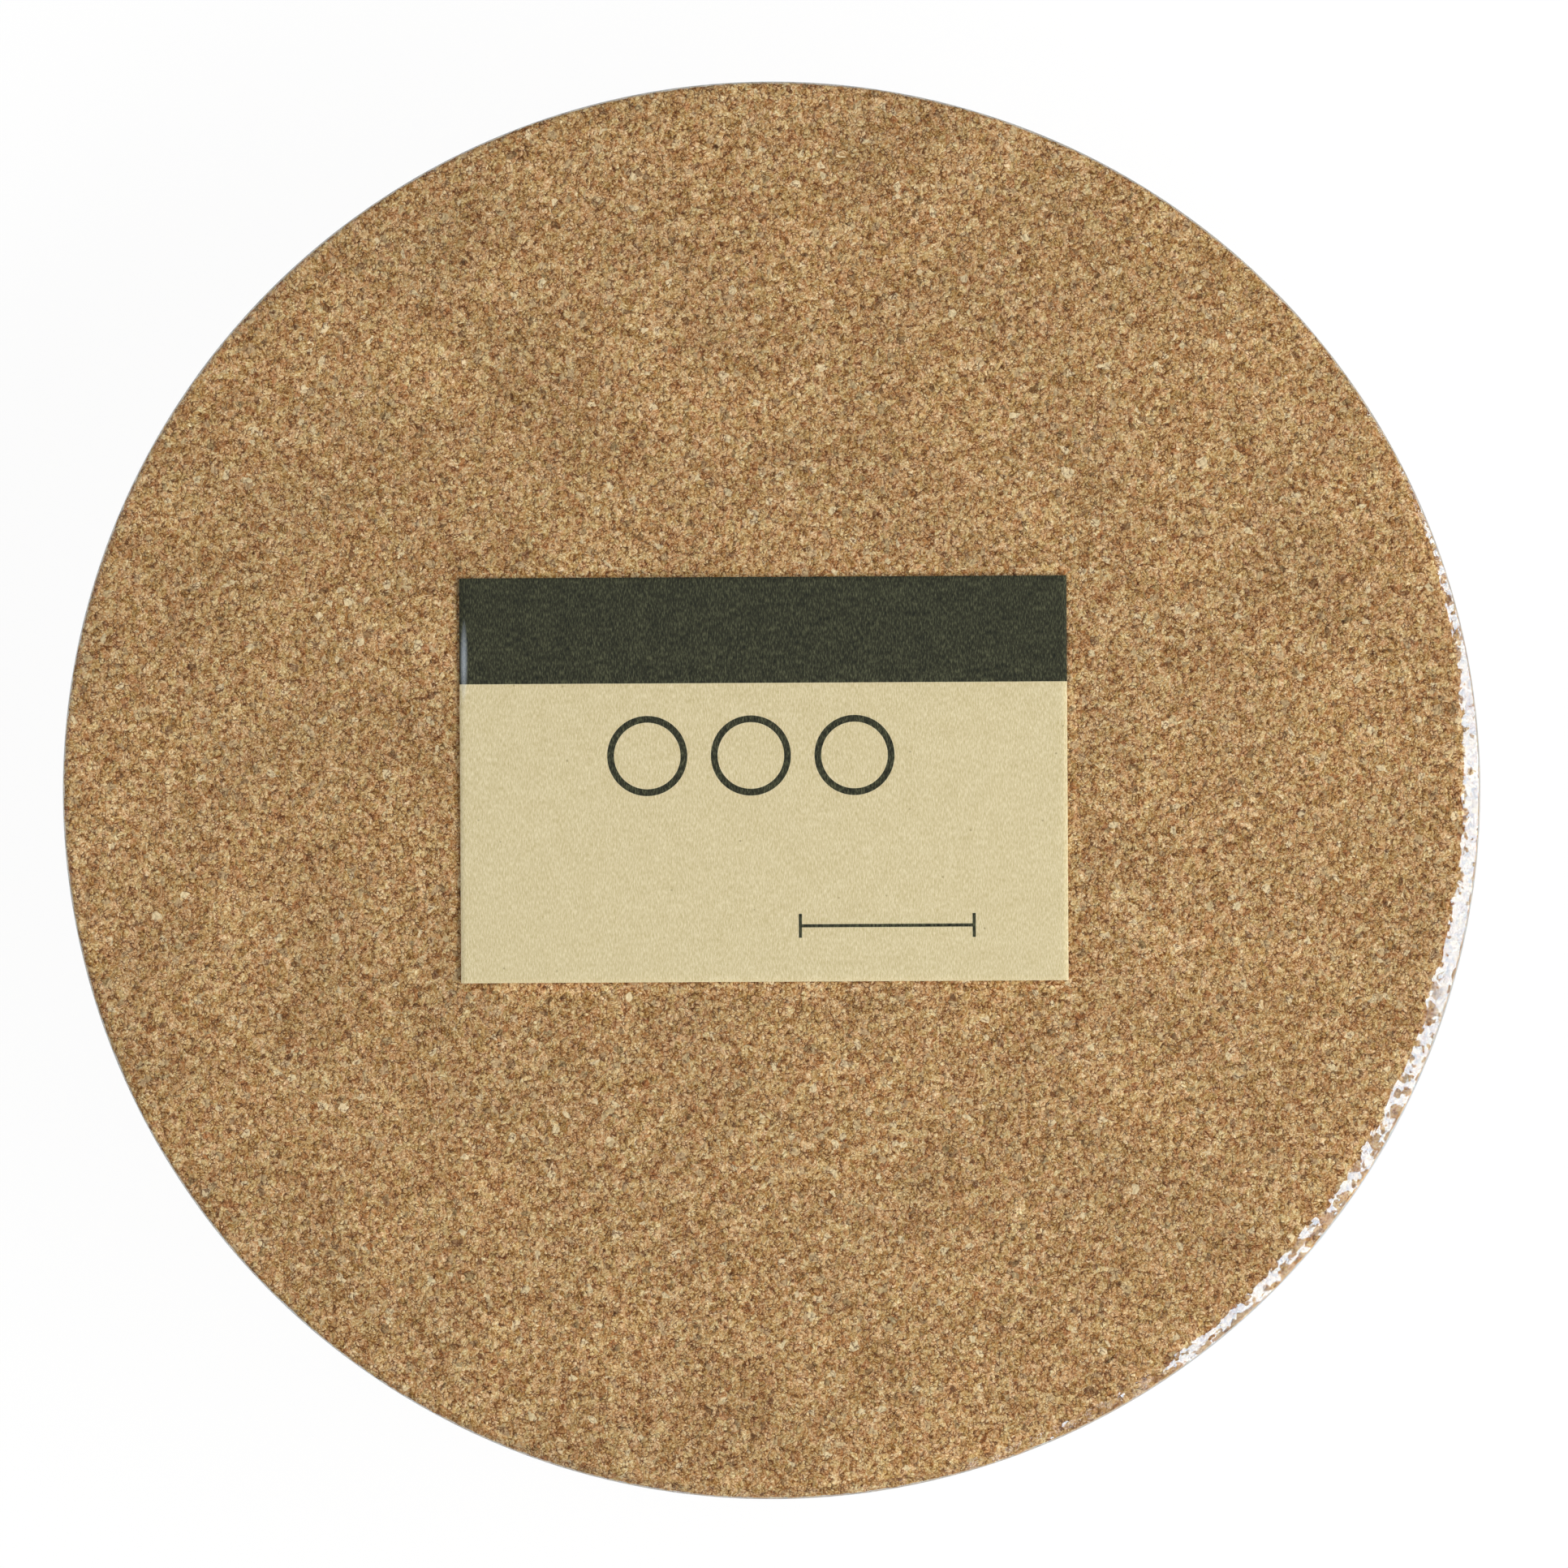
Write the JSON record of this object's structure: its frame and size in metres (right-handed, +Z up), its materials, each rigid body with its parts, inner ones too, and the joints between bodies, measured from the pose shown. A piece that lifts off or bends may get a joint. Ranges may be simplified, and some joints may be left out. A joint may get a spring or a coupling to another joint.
{
  "type": "cork trivet set",
  "caption": "Round cork trivets stacked under a kraft card in clear shrink film; the film, the card and each disc lift off upwards.",
  "frame": {"origin": "middle of the flat round face that the set rests on, under the upper disc's axis", "axes": "+Z up, the way the discs lift off; +Y towards the dark band on the card, +X to the card's right as it is read"},
  "size_m": [0.181, 0.181, 0.0292],
  "materials": {
    "cork": "matte",
    "kraft_card": "matte",
    "clear_film": "gloss"
  },
  "bodies": {
    "lower_disc": {"trivet_bottom": "cork", "film_lower": "clear_film"},
    "middle_disc": {"trivet_middle": "cork"},
    "upper_disc": {"trivet_top": "cork"},
    "card": {"label_card": "kraft_card"},
    "wrap": {"film_upper": "clear_film"}
  },
  "joints": [
    {"name": "middle_disc_lift", "type": "slide", "parent": "lower_disc", "child": "middle_disc", "axis": [0, 0, 1], "range_m": [0, 0.04]},
    {"name": "upper_disc_lift", "type": "slide", "parent": "middle_disc", "child": "upper_disc", "axis": [0, 0, 1], "range_m": [0, 0.04]},
    {"name": "card_lift", "type": "slide", "parent": "upper_disc", "child": "card", "axis": [0, 0, 1], "range_m": [0, 0.04]},
    {"name": "wrap_lift", "type": "slide", "parent": "card", "child": "wrap", "axis": [0, 0, 1], "range_m": [0, 0.04]}
  ]
}
